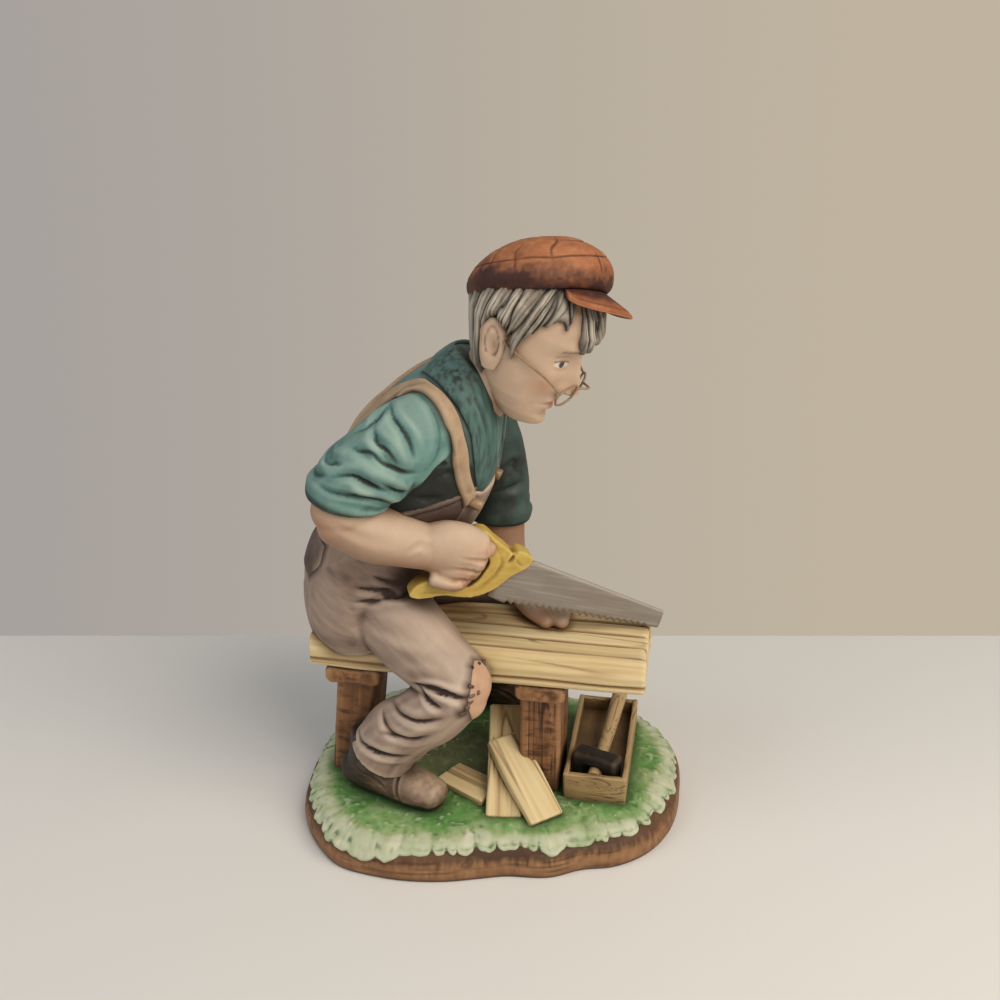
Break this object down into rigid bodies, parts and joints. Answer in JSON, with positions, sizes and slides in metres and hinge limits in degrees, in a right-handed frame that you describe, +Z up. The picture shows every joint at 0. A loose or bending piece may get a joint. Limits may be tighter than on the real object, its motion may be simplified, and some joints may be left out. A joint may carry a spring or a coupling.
{
  "type": "seated carpenter figurine",
  "caption": "Matte hand-painted bisque porcelain figurine of an old carpenter astride a plank bench, sawing, with toolbox and offcuts on a turf base; a standing ornament.",
  "frame": {"origin": "middle of the base's bounding box, on the plane it stands on", "axes": "+Z up, +X along the bench the way the carpenter faces, +Y away from the viewer"},
  "size_m": [0.1344, 0.109, 0.2061],
  "materials": {
    "earth": "matte hand-painted bisque",
    "grass": "matte hand-painted bisque",
    "pale_wood": "matte hand-painted bisque",
    "brown_wood": "matte hand-painted bisque",
    "tan_wood": "matte hand-painted bisque",
    "iron": "matte hand-painted bisque",
    "steel": "matte hand-painted bisque",
    "ochre": "matte hand-painted bisque",
    "denim": "matte hand-painted bisque",
    "strap": "matte hand-painted bisque",
    "patch": "matte hand-painted bisque",
    "teal": "matte hand-painted bisque",
    "leather": "matte hand-painted bisque",
    "skin": "matte hand-painted bisque",
    "grey_hair": "matte hand-painted bisque",
    "russet": "matte hand-painted bisque",
    "wire": "thin bent wire, dull gold",
    "bib_brass": "matte bisque painted dull gold"
  },
  "bodies": {
    "root": {"base_plinth": "earth", "grass_turf": "grass", "bench_front_board": "pale_wood", "bench_plank_1": "pale_wood", "bench_plank_2": "pale_wood", "bench_plank_3": "pale_wood", "bench_plank_4": "pale_wood", "trestle_cap_left": "brown_wood", "trestle_leg_left": "brown_wood", "trestle_cap_right": "brown_wood", "trestle_leg_right": "brown_wood", "toolbox": "tan_wood", "hammer_head": "iron", "hammer_handle": "tan_wood", "offcut_leaning": "pale_wood", "offcut_crossing": "pale_wood", "offcut_short": "pale_wood", "saw_blade": "steel", "saw_handle": "ochre", "overalls_seat": "denim", "trouser_leg_right": "denim", "trouser_leg_left": "denim", "overalls_bib": "denim", "strap_right": "strap", "strap_left": "strap", "bib_button_right": "bib_brass", "bib_button_left": "bib_brass", "hip_pocket": "denim", "knee_patch": "patch", "shirt_body": "teal", "collar_right": "teal", "collar_left": "teal", "sleeve_right": "teal", "sleeve_left": "teal", "boot_right": "leather", "boot_left": "leather", "head": "skin", "hair": "grey_hair", "arm_right": "skin", "arm_left": "skin", "cap_crown": "russet", "cap_visor": "russet", "spectacles": "wire"}
  },
  "joints": []
}
